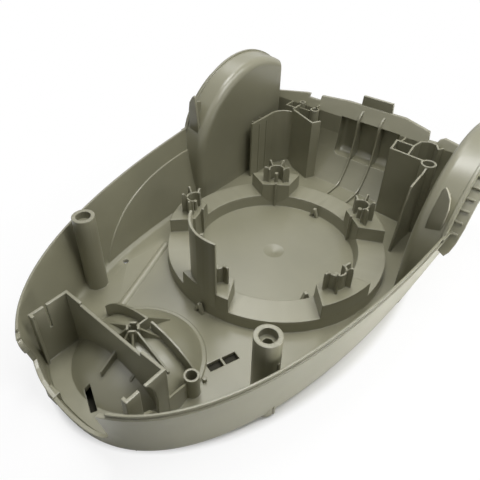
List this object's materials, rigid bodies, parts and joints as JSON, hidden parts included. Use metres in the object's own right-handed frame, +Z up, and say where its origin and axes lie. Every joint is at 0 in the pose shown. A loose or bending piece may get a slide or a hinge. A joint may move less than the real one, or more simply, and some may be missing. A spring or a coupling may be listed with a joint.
{
  "type": "injection moulded plastic housing",
  "caption": "Boat-shaped moulded lower housing of a canister floor cleaner, with a round motor seat, spring posts, screw bosses, caster dome and rounded wheel arches.",
  "frame": {"origin": "on the flat underside, below the middle of the round motor seat", "axes": "+X from the rounded nose towards the rear wall, +Y towards the left side as seen from the rear, +Z up out of the open tub"},
  "size_m": [0.387, 0.2706, 0.1264],
  "materials": {
    "housing_plastic": "satin olive grey, even, slightly worn"
  },
  "bodies": {
    "root": {"lower_housing": "housing_plastic"}
  },
  "joints": []
}
